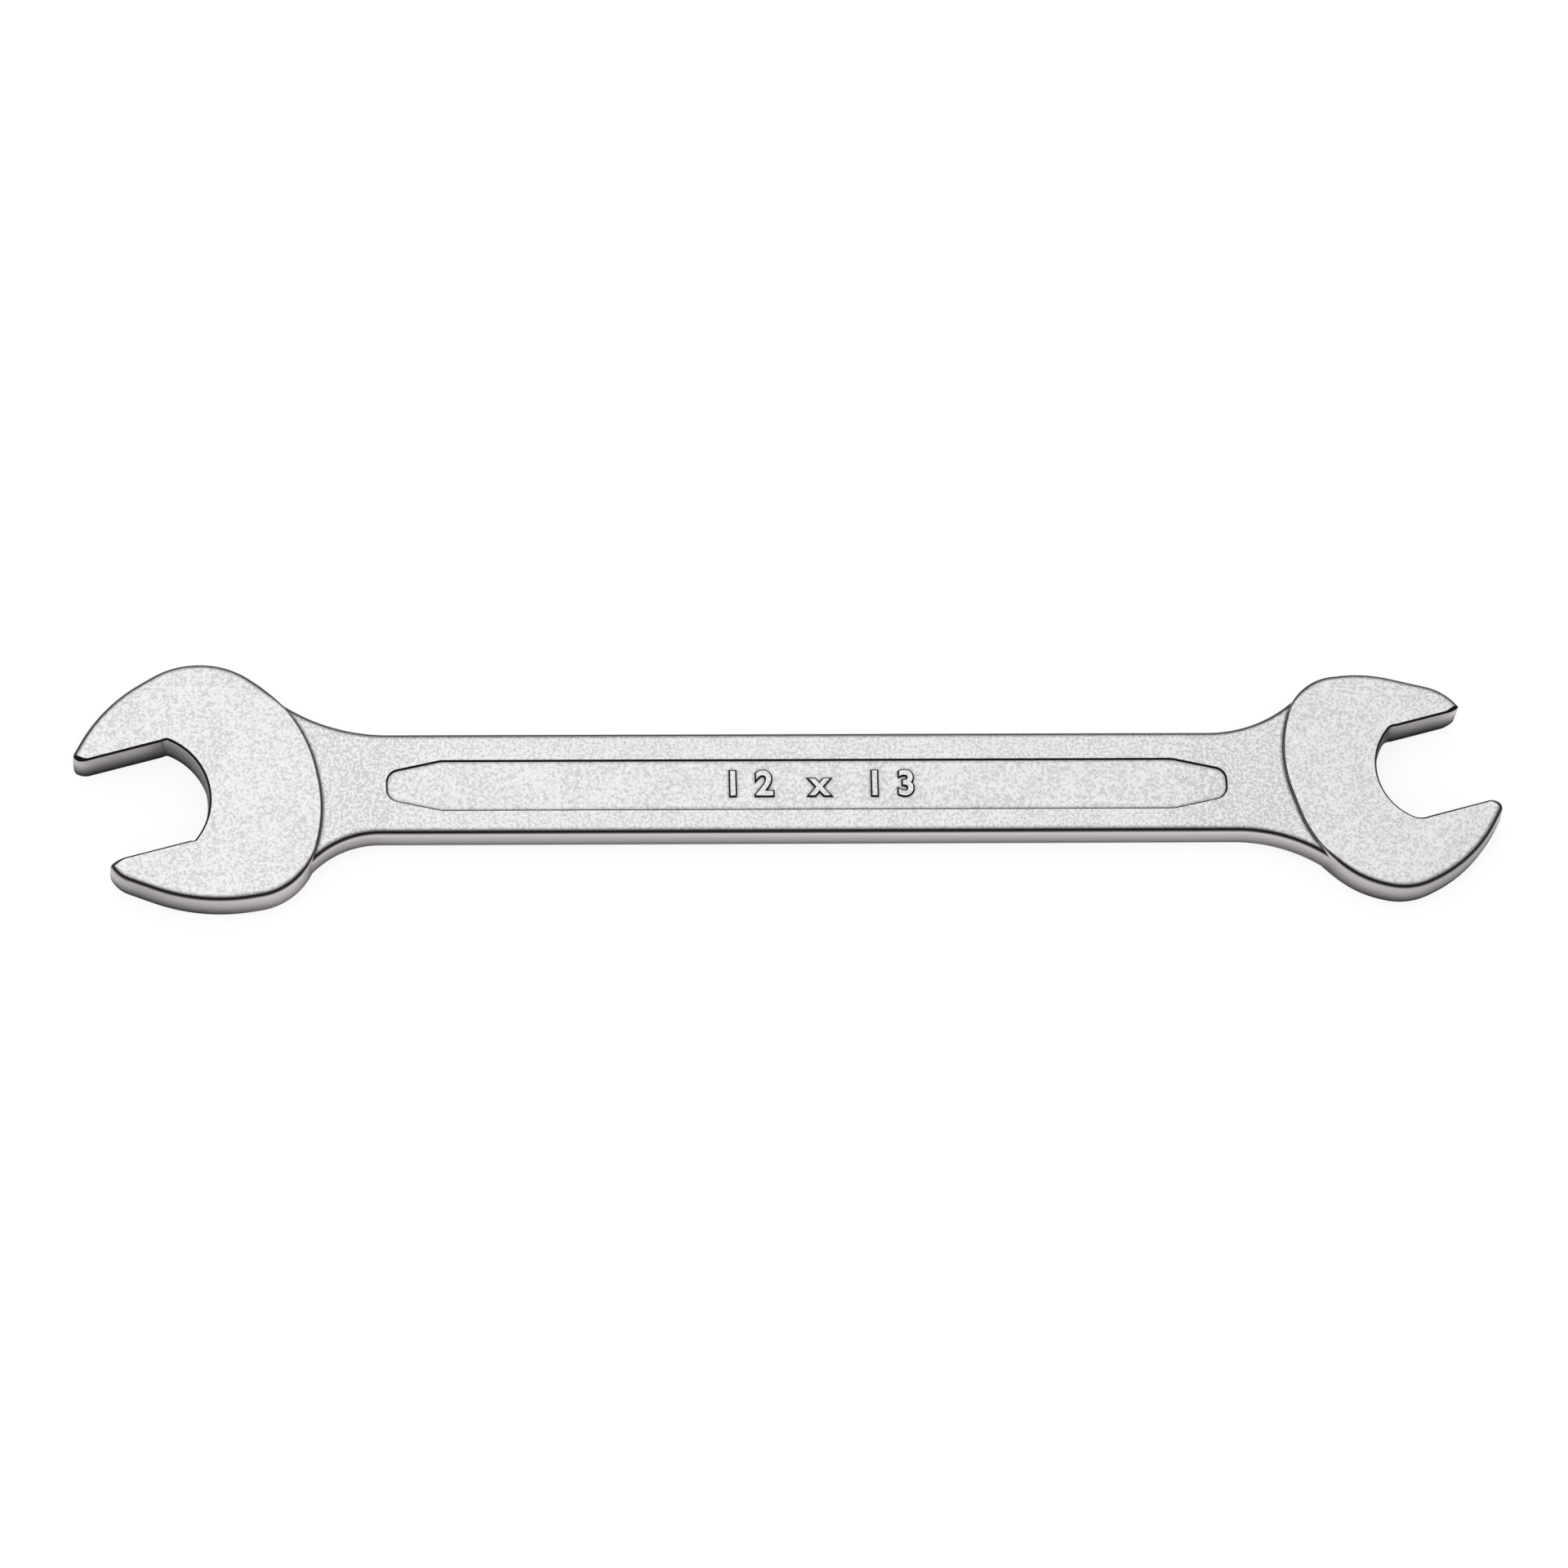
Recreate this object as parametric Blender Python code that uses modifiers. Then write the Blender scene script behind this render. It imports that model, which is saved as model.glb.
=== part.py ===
# A double open end wrench, drop forged in one piece from chrome vanadium steel, 12 mm and 13 mm.
#
# The wrench lies along X with its large head at -X, and its heads rest on their undersides at
# Z = 0. Each head is a thick forged blank, the shank is a thinner one that flares into them, and
# the three are joined. Then the jaws are milled and a panel is sunk in each face of the shank.
# Lengths are in metres and angles in radians.

import math

import bmesh
import bpy
from mathutils import Matrix, Vector

# The whole tool
OVERALL_LENGTH = 0.172
HEAD_THICKNESS = 0.0060
JAW_ANGLE = math.radians(15)
DRAFT_ANGLE = math.radians(5)
FORGED_EDGE_RADIUS = 0.0009
# The step from a head's heel down to the neck is crisper than the outer edges
HEEL_EDGE_RADIUS = 0.0003

# The shank and its sunk panels
SHANK_WIDTH = 0.0131
SHANK_THICKNESS = 0.0050
PANEL_WIDTH = 0.0065
PANEL_OFFSET = -0.0003
PANEL_DEPTH = 0.00025
PANEL_WALL_SLOPE = math.radians(50)
PANEL_MARGIN_LARGE_END = 0.0074
PANEL_MARGIN_SMALL_END = 0.0067
PANEL_TAPER_LENGTH = 0.0066
PANEL_NOSE_WIDTH = 0.0036
PANEL_CORNER_RADIUS = 0.0030
PANEL_NOSE_RADIUS = 0.0017

# The milled jaws. Their edges are worn rounder at the noses of their tips.
JAW_EDGE_BREAK = 0.00025
NOSE_EDGE_BREAK = 0.0005

# How far the neck's edge sinks into the head's, and how far cuts run past a surface
NECK_BITE = 0.00015
CUT_OVERRUN = 0.0002

# How finely arcs and rounded edges are drawn, and how many points on each side of a place the
# edge radius is averaged over
ARC_STEP = math.radians(5)
EDGE_SEGMENTS = 3
EDGE_BLEND_POINTS = 3
SHARP_ANGLE = math.radians(35)
MERGE_DISTANCE = 0.00001
# How often a bisection halves what it searches
HALVINGS = 40

# A head lies in its own frame: its centre is where the jaw axis crosses the wrench's axis, the
# mouth opens towards +X, turned up by JAW_ANGLE, and the shank comes in from -X. The long jaw is
# the lower one. outline_shares holds the corners of the blank, anticlockwise from the tip of the
# long jaw, each as X, Y and fillet radius in shares of the head's width.
LARGE_HEAD = {
    "jaw_opening": 0.0130,
    "width": 0.0309,
    "throat_radius": 0.0080,
    "throat_behind_centre": 0.00020,
    "mouth_offset": 0.00013,
    "throat_corner_radius_long": 0.0009,
    "throat_corner_radius_short": 0.0005,
    "tip_length_long": 0.00183,
    "tip_radius_long": 0.0021,
    "tip_turn_long": math.radians(30),
    "nose_radius_long": 0.0010,
    "nose_turn_long": math.radians(75),
    "tip_length_short": 0.0022,
    "tip_radius_short": 0.0040,
    "tip_turn_short": math.radians(20),
    "nose_radius_short": 0.0012,
    "nose_turn_short": math.radians(65),
    "neck_radius_long": 0.0222,
    "neck_radius_short": 0.0109,
    "outline_shares": [
        (0.515, -0.117, 0.046),
        (0.380, 0.288, 0.049),
        (0.364, 0.378, 0.136),
        (0.008, 0.512, 0.750),
        (-0.394, 0.444, 0.270),
        (-0.482, 0.121, 0.597),
        (-0.400, -0.287, 0.600),
        (-0.091, -0.503, 0.343),
        (0.125, -0.497, 0.351),
        (0.400, -0.328, 0.645),
    ],
}
SMALL_HEAD = {
    "jaw_opening": 0.0120,
    "width": 0.0284,
    "throat_radius": 0.0069,
    "throat_behind_centre": 0.00060,
    "mouth_offset": 0.00016,
    "throat_corner_radius_long": 0.0025,
    "throat_corner_radius_short": 0.0028,
    "tip_length_long": 0.00160,
    "tip_radius_long": 0.0016,
    "tip_turn_long": math.radians(25),
    "nose_radius_long": 0.0010,
    "nose_turn_long": math.radians(80),
    "tip_length_short": 0.0022,
    "tip_radius_short": 0.0040,
    "tip_turn_short": math.radians(20),
    "nose_radius_short": 0.0012,
    "nose_turn_short": math.radians(65),
    "neck_radius_long": 0.0195,
    "neck_radius_short": 0.0155,
    "outline_shares": [
        (0.506, -0.127, 0.050),
        (0.326, 0.399, 0.255),
        (-0.068, 0.494, 0.610),
        (-0.366, 0.462, 0.235),
        (-0.470, 0.118, 0.575),
        (-0.342, -0.268, 0.560),
        (-0.145, -0.457, 0.443),
        (0.089, -0.513, 0.287),
        (0.377, -0.373, 0.605),
    ],
}


def clear_scene():
    for obj in list(bpy.data.objects):
        bpy.data.objects.remove(obj, do_unlink=True)


def new_collection(name):
    collection = bpy.data.collections.new(name)
    bpy.context.scene.collection.children.link(collection)
    return collection


def chrome():
    """Satin chrome plate over tumbled steel."""
    material = bpy.data.materials.new("satin_chrome")
    material.use_nodes = True
    shader = material.node_tree.nodes["Principled BSDF"]
    shader.inputs["Base Color"].default_value = (0.78, 0.76, 0.77, 1.0)
    shader.inputs["Metallic"].default_value = 1.0
    shader.inputs["Roughness"].default_value = 0.32
    return material


def arc(centre, radius, start, turn):
    """Points along an arc, its two ends among them. A positive turn is anticlockwise."""
    steps = max(2, math.ceil(abs(turn) / ARC_STEP))
    angles = [start + turn * step / steps for step in range(steps + 1)]
    return [centre + radius * Vector((math.cos(angle), math.sin(angle))) for angle in angles]


def rounded_outline(corners):
    """The closed outline through (x, y, radius) corners, each rounded by an arc of its radius."""
    places = [Vector(corner[:2]) for corner in corners]
    outline = []
    for index, corner in enumerate(corners):
        before, here, after = places[index - 1], places[index], places[(index + 1) % len(places)]
        coming = (here - before).normalized()
        going = (after - here).normalized()
        turn = math.atan2(coming.cross(going), coming.dot(going))
        side = math.copysign(1, turn)
        start = here - coming * corner[2] * math.tan(abs(turn) / 2)
        to_centre = side * Vector((-coming.y, coming.x))
        outward = -to_centre
        outline += arc(start + to_centre * corner[2], corner[2], math.atan2(outward.y, outward.x), turn)
    return outline


def is_inside(point, outline):
    """Whether a point lies inside a closed outline, by counting the edges to its right."""
    inside = False
    for start, end in zip(outline, outline[1:] + outline[:1]):
        if (start.y > point.y) != (end.y > point.y):
            crossing = start.x + (end.x - start.x) * (point.y - start.y) / (end.y - start.y)
            inside ^= point.x < crossing
    return inside


def head_outline(head):
    width = head["width"]
    return rounded_outline([[share * width for share in corner] for corner in head["outline_shares"]])


def jaw_name(side):
    return "short" if side > 0 else "long"


def nearest_point(point, outline):
    """The point of a closed outline that lies nearest to a given one."""
    found = []
    for start, end in zip(outline, outline[1:] + outline[:1]):
        run = end - start
        share = (point - start).dot(run) / run.length_squared
        found.append(start + run * min(max(share, 0), 1))
    return min(found, key=lambda place: (place - point).length)


def neck_flare(head, side):
    """The edge of the neck on one side of a head: a fillet between the shank's straight edge and
    the head's outline, sunk into the outline by NECK_BITE."""
    radius = head["neck_radius_" + jaw_name(side)]
    outline = head_outline(head)
    centre = Vector((0, side * (SHANK_WIDTH / 2 + radius)))
    near, far = 0, head["width"] + radius
    for halving in range(HALVINGS):
        centre.x = -(near + far) / 2
        touching = nearest_point(centre, outline)
        if (touching - centre).length < radius - NECK_BITE:
            near = -centre.x
        else:
            far = -centre.x
    toward_head = touching - centre
    turn = math.atan2(toward_head.x, -side * toward_head.y)
    return arc(centre, radius, -side * math.pi / 2, side * turn)


def jaw_axes():
    """Unit vectors along the mouth, outwards, and across it, towards the short jaw."""
    along = Vector((math.cos(JAW_ANGLE), math.sin(JAW_ANGLE)))
    return along, Vector((-along.y, along.x))


def jaw_reach(head, side):
    """How far a jaw's tip lies from the head's centre, measured along the mouth."""
    along, across = jaw_axes()
    face = head["jaw_opening"] / 2 + side * head["mouth_offset"]
    return max(point.dot(along) for point in head_outline(head) if side * point.dot(across) > face)


def jaw_side(head, side):
    """One side of the mouth, from the deepest point of the throat out past the tip of the jaw. Each
    point comes with its share of the draft, and with the size of its broken edge."""
    name = jaw_name(side)
    radius = head["throat_radius"]
    corner = head["throat_corner_radius_" + name]
    half_opening = head["jaw_opening"] / 2
    throat_centre = radius - head["throat_behind_centre"]
    # The corner's arc touches the throat's arc from inside, and the jaw's face
    gap = math.sqrt((radius - corner) ** 2 - (half_opening - corner) ** 2)
    meeting = math.atan2(half_opening - corner, gap)
    throat = arc(Vector((throat_centre, 0)), radius, math.pi, -meeting)
    fillet_centre = Vector((throat_centre - gap, half_opening - corner))
    fillet = arc(fillet_centre, corner, math.pi - meeting, meeting - math.pi / 2)
    tip_radius, tip_turn = head["tip_radius_" + name], head["tip_turn_" + name]
    tip_start = jaw_reach(head, side) - head["tip_length_" + name]
    tip_centre = Vector((tip_start, half_opening + tip_radius))
    tip = arc(tip_centre, tip_radius, -math.pi / 2, tip_turn)
    nose_radius, nose_turn = head["nose_radius_" + name], head["nose_turn_" + name]
    nose_centre = tip[-1] + (tip_centre - tip[-1]) * nose_radius / tip_radius
    nose = arc(nose_centre, nose_radius, tip_turn - math.pi / 2, nose_turn)
    heading = tip_turn + nose_turn
    outside = nose[-1] + half_opening * Vector((math.cos(heading), math.sin(heading)))
    beyond = Vector((outside.x + head["width"], outside.y))

    # Arcs that touch share the point where they do
    side_points = [(point, 1, JAW_EDGE_BREAK) for point in throat[1:-1]]
    for step, point in enumerate(fillet):
        side_points.append((point, 1 - step / len(fillet), JAW_EDGE_BREAK))
    for step, point in enumerate(tip):
        wear = step / (len(tip) - 1)
        side_points.append((point, 0, JAW_EDGE_BREAK + (NOSE_EDGE_BREAK - JAW_EDGE_BREAK) * wear))
    side_points += [(point, 0, NOSE_EDGE_BREAK) for point in nose[1:] + [outside, beyond]]
    return [(Vector((point.x, side * point.y)), share, edge) for point, share, edge in side_points]


def mouth_sides(head):
    """The space between a head's jaws, open at the mouth, in the head's own frame, as jaw_side
    gives it."""
    deepest = Vector((-head["throat_behind_centre"], 0))
    loop = [(deepest, 1, JAW_EDGE_BREAK)] + jaw_side(head, -1) + jaw_side(head, 1)[::-1]
    along, across = jaw_axes()
    turned = []
    for point, share, edge in loop:
        turned.append((along * point.x + across * (point.y + head["mouth_offset"]), share, edge))
    return turned


def mouth_outline(head):
    return [point for point, share, edge in mouth_sides(head)]


def head_place(head, end):
    """Puts a head at its end of the wrench, the small one at +X and the large one at -X, with the
    wrench's axis along X."""
    outline, mouth = head_outline(head), mouth_outline(head)
    left = [point.x for point in outline if not is_inside(point, mouth)]
    reach = max(left + [point.x for point in mouth if is_inside(point, outline)])
    turn = Matrix.Rotation(0 if end > 0 else math.pi, 4, "Z")
    return Matrix.Translation((end * (OVERALL_LENGTH / 2 - reach), 0, HEAD_THICKNESS / 2)) @ turn


def sideways_shift():
    """Moves the axis off Y = 0 so that the widest points of the two heads lie evenly about it."""
    across = []
    for head, end in ((LARGE_HEAD, -1), (SMALL_HEAD, 1)):
        across += [point.y for point in in_place(head_outline(head), head_place(head, end))]
    return Matrix.Translation((0, -(max(across) + min(across)) / 2, 0))


def in_place(points, place):
    return [(place @ point.to_3d()).to_2d() for point in points]


def ways_in(outline):
    """The way in at each point of an anticlockwise outline, as far as an inset of one moves it."""
    ways = []
    for before, here, after in zip(outline[-1:] + outline[:-1], outline, outline[1:] + outline[:1]):
        coming, going = (here - before).normalized(), (after - here).normalized()
        middle = (coming + going).normalized()
        way = Vector((-middle.y, middle.x))
        ways.append(way / middle.dot(going))
    return ways


def lifted(outline, levels):
    """Walls that rise from an anticlockwise outline through levels, with a face on the last. Each
    level gives every point of the outline a height and an inset."""
    bm = bmesh.new()
    face = bm.faces.new([bm.verts.new(point.to_3d()) for point in outline])
    ways = ways_in(outline)
    for number, level in enumerate(levels):
        if number:
            face = bmesh.ops.extrude_discrete_faces(bm, faces=[face])["faces"][0]
        for corner, point, way, (height, inset) in zip(face.verts, outline, ways, level):
            corner.co = (point + way * inset).to_3d()
            corner.co.z = height
    return bm


def add_object(name, bm, collection, material, place):
    mesh = bpy.data.meshes.new(name)
    bm.to_mesh(mesh)
    bm.free()
    obj = bpy.data.objects.new(name, mesh)
    obj.matrix_world = place
    mesh.materials.append(material)
    mesh.shade_smooth()
    mesh.set_sharp_from_angle(angle=SHARP_ANGLE)
    collection.objects.link(obj)
    return obj


def mirror_across_parting_line(obj):
    mirror = obj.modifiers.new("other_half", "MIRROR")
    mirror.use_axis = (False, False, True)
    mirror.merge_threshold = MERGE_DISTANCE


def forged_blank(name, outline, edge_radii, thickness, collection, material, place):
    """A blank as it leaves the dies: drafted walls both ways from the parting line at half its
    thickness, and an edge rounded by its own radius at each point of the outline."""
    levels = [[(0, 0)] * len(outline)]
    for segment in range(EDGE_SEGMENTS + 1):
        angle = DRAFT_ANGLE + (math.pi / 2 - DRAFT_ANGLE) * segment / EDGE_SEGMENTS
        level = []
        for radius in edge_radii:
            centre_height = thickness / 2 - radius
            centre_inset = centre_height * math.tan(DRAFT_ANGLE) + radius / math.cos(DRAFT_ANGLE)
            height = centre_height + radius * math.sin(angle)
            level.append((height, centre_inset - radius * math.cos(angle)))
        levels.append(level)
    blank = add_object(name, lifted(outline, levels), collection, material, place)
    mirror_across_parting_line(blank)
    return blank


def head_edge_radii(outline, shank):
    """FORGED_EDGE_RADIUS outside the neck, HEEL_EDGE_RADIUS where the edge is a step on the neck,
    and a steady change between the two."""
    radii = [HEEL_EDGE_RADIUS if is_inside(point, shank) else FORGED_EDGE_RADIUS for point in outline]
    count = len(radii)
    reach = range(-EDGE_BLEND_POINTS, EDGE_BLEND_POINTS + 1)
    return [sum(radii[(index + step) % count] for step in reach) / len(reach) for index in range(count)]


def shank_outline(large_place, small_place):
    """The shank and both necks, anticlockwise, ending at the centres of the heads."""
    small = in_place(neck_flare(SMALL_HEAD, 1), small_place)
    small_low = in_place(neck_flare(SMALL_HEAD, -1), small_place)
    large = in_place(neck_flare(LARGE_HEAD, 1), large_place)
    large_low = in_place(neck_flare(LARGE_HEAD, -1), large_place)
    small_centre = small_place.translation.to_2d()
    large_centre = large_place.translation.to_2d()
    return large[::-1] + small_low + [small_centre] + small[::-1] + large_low + [large_centre]


def boolean(obj, other, operation):
    modifier = obj.modifiers.new(other.name, "BOOLEAN")
    modifier.operation = operation
    modifier.object = other
    modifier.solver = "EXACT"


def helper(obj):
    obj.hide_render = True
    obj.display_type = "WIRE"
    return obj


def mouth_cutter(name, head, collection, material, place):
    """The cut of a mouth: straight at the jaws, drafted at the throat, and wider at both faces so
    that its edges come out broken."""
    half_thickness = HEAD_THICKNESS / 2
    below, above = [], []
    for point, share, edge in mouth_sides(head):
        lean = (half_thickness - edge) * math.tan(DRAFT_ANGLE) * share
        below.append((half_thickness - edge, -lean))
        above.append((half_thickness + CUT_OVERRUN, -lean - edge - CUT_OVERRUN))
    outline = mouth_outline(head)
    levels = [[(0, 0)] * len(outline), below, above]
    bm = lifted(outline, levels)
    cutter = add_object(name, bm, collection, material, place)
    mirror_across_parting_line(cutter)
    return helper(cutter)


def panel_cutter(name, length, collection, material, place):
    """The sunk panel on one face: a bar whose ends narrow to a rounded nose, with sloping walls."""
    half_length = length / 2
    half_width, half_nose = PANEL_WIDTH / 2, PANEL_NOSE_WIDTH / 2
    shoulder = half_length - PANEL_TAPER_LENGTH
    quarter = [(half_length, half_nose, PANEL_NOSE_RADIUS), (shoulder, half_width, PANEL_CORNER_RADIUS)]
    half = quarter + [(-x, y, radius) for x, y, radius in quarter[::-1]]
    corners = half + [(-x, -y, radius) for x, y, radius in half]
    outline = rounded_outline(corners)
    # The cutter hangs upside down: from above the shank's face down to the panel's floor
    levels = [(level, level / math.tan(PANEL_WALL_SLOPE)) for level in (-CUT_OVERRUN, PANEL_DEPTH)]
    bm = lifted(outline, [[level] * len(outline) for level in levels])
    bmesh.ops.holes_fill(bm, edges=bm.edges)
    to_face = Matrix.Translation((0, 0, SHANK_THICKNESS / 2))
    over = Matrix.Rotation(math.pi, 4, "X")
    return helper(add_object(name, bm, collection, material, place @ to_face @ over))


def build():
    clear_scene()
    wrench = new_collection("open_end_wrench")
    helpers = new_collection("helpers")
    material = chrome()

    shift = sideways_shift()
    large_place, small_place = shift @ head_place(LARGE_HEAD, -1), shift @ head_place(SMALL_HEAD, 1)
    middle = shift @ Matrix.Translation((0, 0, HEAD_THICKNESS / 2))
    to_middle = middle.inverted()
    shank = shank_outline(to_middle @ large_place, to_middle @ small_place)
    radii = [FORGED_EDGE_RADIUS] * len(shank)
    body = forged_blank("forged_wrench_body", shank, radii, SHANK_THICKNESS, wrench, material, middle)

    heel_lines = []
    for name, head, place in (("large", LARGE_HEAD, large_place), ("small", SMALL_HEAD, small_place)):
        outline = head_outline(head)
        shank_here = in_place(shank, place.inverted() @ middle)
        radii = head_edge_radii(outline, shank_here)
        blank = forged_blank(name + "_head", outline, radii, HEAD_THICKNESS, helpers, material, place)
        boolean(body, helper(blank), "UNION")
        boolean(body, mouth_cutter(name + "_mouth_cut", head, helpers, material, place), "DIFFERENCE")
        heel_lines.append((place @ Vector((min(point.x for point in outline), 0, 0))).x)

    panel_start = heel_lines[0] + PANEL_MARGIN_LARGE_END
    panel_end = heel_lines[1] - PANEL_MARGIN_SMALL_END
    panel_middle = middle @ Matrix.Translation(((panel_start + panel_end) / 2, PANEL_OFFSET, 0))
    for name, face_turn in (("upper", 0), ("lower", math.pi)):
        place = panel_middle @ Matrix.Rotation(face_turn, 4, "X")
        cutter = panel_cutter(name + "_panel_cut", panel_end - panel_start, helpers, material, place)
        boolean(body, cutter, "DIFFERENCE")


build()
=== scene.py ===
import math

import bmesh
import bpy
from mathutils import Matrix, Vector


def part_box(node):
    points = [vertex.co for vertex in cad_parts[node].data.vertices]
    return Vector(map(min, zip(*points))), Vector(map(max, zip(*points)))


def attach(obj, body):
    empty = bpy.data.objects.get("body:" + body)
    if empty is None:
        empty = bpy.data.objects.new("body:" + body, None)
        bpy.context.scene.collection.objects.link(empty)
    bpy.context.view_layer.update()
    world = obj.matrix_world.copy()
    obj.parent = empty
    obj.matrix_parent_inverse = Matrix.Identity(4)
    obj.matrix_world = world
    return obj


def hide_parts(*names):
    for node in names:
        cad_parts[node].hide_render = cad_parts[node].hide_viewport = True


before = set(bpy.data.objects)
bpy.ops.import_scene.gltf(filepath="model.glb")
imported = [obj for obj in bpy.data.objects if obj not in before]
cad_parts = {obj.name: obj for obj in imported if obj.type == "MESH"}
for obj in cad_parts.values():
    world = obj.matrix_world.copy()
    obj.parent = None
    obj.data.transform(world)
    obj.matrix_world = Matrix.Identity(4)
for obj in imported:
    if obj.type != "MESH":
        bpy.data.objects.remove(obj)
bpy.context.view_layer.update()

# Lengths in metres, angles in degrees. X runs along the wrench, small head at +X.


class Wire:
    # an output socket that can be used in sums
    def __init__(self, maker, socket):
        self.maker = maker
        self.socket = socket

    def math(self, operation, *others):
        return self.maker.add("ShaderNodeMath", {"operation": operation}, [self, *others])

    def __add__(self, other):
        return self.math("ADD", other)

    def __sub__(self, other):
        return self.math("SUBTRACT", other)

    def __mul__(self, other):
        return self.math("MULTIPLY", other)

    def __truediv__(self, other):
        return self.math("DIVIDE", other)

    def __mod__(self, other):
        return self.math("MODULO", other)

    def __radd__(self, other):
        return self.math("ADD", other)

    def __rsub__(self, other):
        return self.maker.add("ShaderNodeMath", {"operation": "SUBTRACT"}, [other, self])

    def clamp(self):
        return self.math("MAXIMUM", 0).math("MINIMUM", 1)

    def risen(self, start, end):
        # 0 up to start, 1 from end on, and even between the two
        return ((self - start) / (end - start)).clamp()


class TreeMaker:
    def __init__(self, tree):
        self.tree = tree

    def add(self, kind, settings=None, inputs=(), output=0):
        # settings come first, because they can change which sockets there are
        node = self.tree.nodes.new(kind)
        for name, value in (settings or {}).items():
            setattr(node, name, value)
        pairs = inputs.items() if isinstance(inputs, dict) else enumerate(inputs)
        for key, value in pairs:
            if isinstance(value, Wire):
                self.tree.links.new(value.socket, node.inputs[key])
            else:
                node.inputs[key].default_value = value
        return Wire(self, node.outputs[output])

    def mixColour(self, share, first, second):
        # sockets 0, 6 and 7 of a colour Mix are its factor, A and B, and output 2 is its colour
        inputs = {0: share, 6: first, 7: second}
        return self.add("ShaderNodeMix", {"data_type": "RGBA"}, inputs, 2)


tool = {
    "overallLength": 0.172,
    "headThickness": 0.0060,
    "jawAngle": 15,
    "draftAngle": 5,
    "forgedEdgeRadius": 0.0009,
    "heelEdgeRadius": 0.0003,
    "shankWidth": 0.0131,
    "shankThickness": 0.0050,
    "jawEdgeBreak": 0.00025,
    "noseEdgeBreak": 0.0005,
    "neckBite": 0.00015,
    "neckHalvings": 40,
    "cutOverrun": 0.0002,
    "leastDistance": 0.000001,
    "weldDistance": 0.000002,
    "arcStep": 2,
    "edgeSegments": 8,
    "edgeBlend": 0.0018,
    "sharpAngle": 32,
}

# A head lies with its mouth towards +X. Its corners are X, Y and rounding in shares of its
# width, anticlockwise from the tip of the long jaw, which is the lower one. A jaw's tip turns
# away in two arcs, the tip's own and then its nose.
largeHead = {
    "jawOpening": 0.0130,
    "width": 0.0309,
    "throatRadius": 0.0080,
    "throatBehindCentre": 0.00020,
    "mouthOffset": 0.00013,
    "throatCorner": {"long": 0.0009, "short": 0.0005},
    "tipLength": {"long": 0.00183, "short": 0.0022},
    "tipRadius": {"long": 0.0021, "short": 0.0040},
    "tipTurn": {"long": 30, "short": 20},
    "noseRadius": {"long": 0.0010, "short": 0.0012},
    "noseTurn": {"long": 75, "short": 65},
    "neckRadius": {"long": 0.0222, "short": 0.0109},
    "corners": [
        (0.515, -0.117, 0.046), (0.380, 0.288, 0.049), (0.364, 0.378, 0.136),
        (0.008, 0.512, 0.750), (-0.394, 0.444, 0.270), (-0.482, 0.121, 0.597),
        (-0.400, -0.287, 0.600), (-0.091, -0.503, 0.343), (0.125, -0.497, 0.351),
        (0.400, -0.328, 0.645),
    ],
}
smallHead = {
    "jawOpening": 0.0120,
    "width": 0.0284,
    "throatRadius": 0.0069,
    "throatBehindCentre": 0.00060,
    "mouthOffset": 0.00016,
    "throatCorner": {"long": 0.0025, "short": 0.0013},
    "tipLength": {"long": 0.0016, "short": 0.0022},
    "tipRadius": {"long": 0.0016, "short": 0.0040},
    "tipTurn": {"long": 25, "short": 20},
    "noseRadius": {"long": 0.0010, "short": 0.0012},
    "noseTurn": {"long": 80, "short": 65},
    "neckRadius": {"long": 0.0195, "short": 0.0155},
    "corners": [
        (0.506, -0.127, 0.050), (0.326, 0.399, 0.255), (-0.068, 0.494, 0.610),
        (-0.366, 0.462, 0.235), (-0.470, 0.118, 0.575), (-0.342, -0.268, 0.560),
        (-0.145, -0.457, 0.443), (0.089, -0.513, 0.287), (0.377, -0.373, 0.605),
    ],
}
sideNames = {1: "short", -1: "long"}


def arcPoints(centre, radius, start, turn):
    steps = max(2, math.ceil(abs(turn) / math.radians(tool["arcStep"])))
    angles = [start + turn * step / steps for step in range(steps + 1)]
    return [centre + radius * Vector((math.cos(a), math.sin(a))) for a in angles]


def roundedOutline(corners):
    places = [Vector(corner[:2]) for corner in corners]
    outline = []
    for index, (x, y, radius) in enumerate(corners):
        here = places[index]
        coming = (here - places[index - 1]).normalized()
        going = (places[(index + 1) % len(places)] - here).normalized()
        turn = math.atan2(coming.cross(going), coming.dot(going))
        start = here - coming * radius * math.tan(abs(turn) / 2)
        toCentre = math.copysign(1, turn) * Vector((-coming.y, coming.x))
        firstAngle = math.atan2(-toCentre.y, -toCentre.x)
        outline += arcPoints(start + toCentre * radius, radius, firstAngle, turn)
    return outline


def isInside(point, outline):
    inside = False
    for start, end in zip(outline, outline[1:] + outline[:1]):
        if (start.y > point.y) != (end.y > point.y):
            crossing = start.x + (end.x - start.x) * (point.y - start.y) / (end.y - start.y)
            inside ^= point.x < crossing
    return inside


def nearestPoint(point, outline):
    found = []
    for start, end in zip(outline, outline[1:] + outline[:1]):
        run = end - start
        if run.length_squared:
            share = (point - start).dot(run) / run.length_squared
            found.append(start + run * min(max(share, 0), 1))
    return min(found, key=lambda place: (place - point).length)


def headOutline(head):
    width = head["width"]
    return roundedOutline([[share * width for share in corner] for corner in head["corners"]])


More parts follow.
